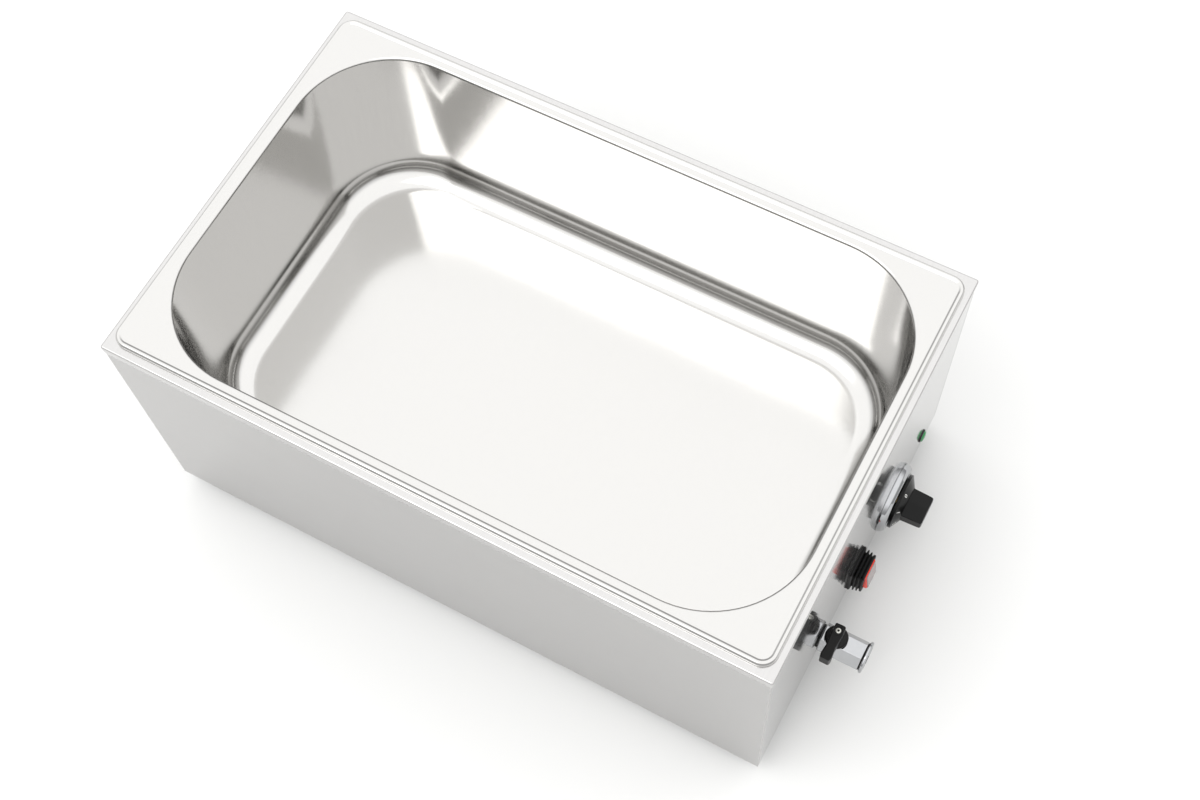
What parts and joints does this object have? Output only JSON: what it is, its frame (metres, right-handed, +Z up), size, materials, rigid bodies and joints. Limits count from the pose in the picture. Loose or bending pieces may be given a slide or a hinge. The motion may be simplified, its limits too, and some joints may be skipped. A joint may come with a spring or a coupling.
{
  "type": "countertop steam table",
  "caption": "Electric countertop steam table: a steel water well that holds a full-size gastronorm pan, with a thermostat knob, lamp, rocker switch and drain tap on one end.",
  "frame": {"origin": "on the table plane under the middle of the casing", "axes": "+Z up; -Y out of the control panel, so +Y runs to the rear wall; +X to the right seen from the control panel"},
  "size_m": [0.338, 0.5936, 0.2505],
  "materials": {
    "brushed_casing_steel": "fine vertical satin grain",
    "polished_pan_steel": "bright pressed sheet, faint drawing marks",
    "bright_rim_steel": "bright rolled edge",
    "zinc_fastener": "bright zinc plate",
    "heater_sheath": "oxidised heater sheath",
    "bright_chrome": "mirror chrome plate",
    "copper_tube": "drawn copper",
    "brass_fitting": "machined brass",
    "foot_rubber": "moulded matt rubber",
    "boot_rubber": "moulded satin rubber",
    "seal_rubber": "matt seal rubber",
    "knob_plastic": "fine sparked black moulding",
    "lever_plastic": "satin black moulding",
    "switch_case_plastic": "black moulding",
    "terminal_plastic": "cream moulding",
    "gland_plastic": "black moulding",
    "seat_plastic": "white seal plastic",
    "rocker_plastic": "glossy translucent red",
    "window_plastic": "smoky clear",
    "lens_plastic": "glossy translucent green"
  },
  "bodies": {
    "housing": {"outer_casing": "brushed_casing_steel", "base_plate": "brushed_casing_steel", "basin": "bright_rim_steel", "base_screws": "zinc_fastener", "foot_screws": "zinc_fastener", "foot_nuts": "zinc_fastener", "foot_front_left": "foot_rubber", "foot_front_right": "foot_rubber", "foot_rear_left": "foot_rubber", "foot_rear_right": "foot_rubber", "heating_element": "heater_sheath", "heater_terminals": "heater_sheath", "clamp_bar_front": "zinc_fastener", "clamp_bar_rear": "zinc_fastener", "clamp_studs": "zinc_fastener", "clamp_nuts": "zinc_fastener", "shield_nuts": "zinc_fastener", "heat_shield": "brushed_casing_steel", "thermostat_bulb": "copper_tube", "bulb_clip": "zinc_fastener", "safety_cutout": "terminal_plastic", "cutout_clip": "zinc_fastener", "capillary_tube": "copper_tube", "thermostat_body": "terminal_plastic", "thermostat_screws": "zinc_fastener", "knob_bezel": "bright_chrome", "lamp_lens": "lens_plastic", "lamp_body": "switch_case_plastic", "lamp_push_nut": "zinc_fastener", "switch_housing": "switch_case_plastic", "switch_boot": "boot_rubber", "switch_blades": "brass_fitting", "drain_pipe": "brass_fitting", "panel_nut": "brass_fitting", "tap_gasket": "seal_rubber", "valve_body": "bright_chrome", "outlet_seal": "seal_rubber", "outlet_ring": "bright_chrome", "valve_seats": "seat_plastic", "packing_nut": "bright_chrome", "cable_gland": "gland_plastic", "gland_cap": "gland_plastic", "gland_locknut": "gland_plastic", "terminal_block": "terminal_plastic", "earth_stud": "brass_fitting", "earth_nut": "brass_fitting"},
    "pan": {"gn_pan": "polished_pan_steel"},
    "knob": {"control_knob": "knob_plastic", "knob_spindle": "brass_fitting"},
    "rocker": {"rocker": "rocker_plastic", "rocker_window": "window_plastic"},
    "drain_lever": {"lever_handle": "lever_plastic", "lever_screw": "zinc_fastener", "valve_stem": "brass_fitting", "valve_ball": "bright_chrome"}
  },
  "joints": [
    {"name": "pan_lift", "type": "slide", "parent": "housing", "child": "pan", "axis": [0, 0, 1], "range_m": [0, 0.17]},
    {"name": "knob_turn", "type": "hinge", "parent": "housing", "child": "knob", "pos_m": [0.071, -0.269, 0.047], "axis": [0, 1, 0], "range_deg": [0, 270]},
    {"name": "rocker_flip", "type": "hinge", "parent": "housing", "child": "rocker", "pos_m": [0.003, -0.266, 0.047], "axis": [1, 0, 0], "range_deg": [0, 14.8]},
    {"name": "drain_open", "type": "hinge", "parent": "housing", "child": "drain_lever", "pos_m": [-0.06, -0.2811, 0.065], "axis": [0, 0, 1], "range_deg": [0, 90]}
  ]
}
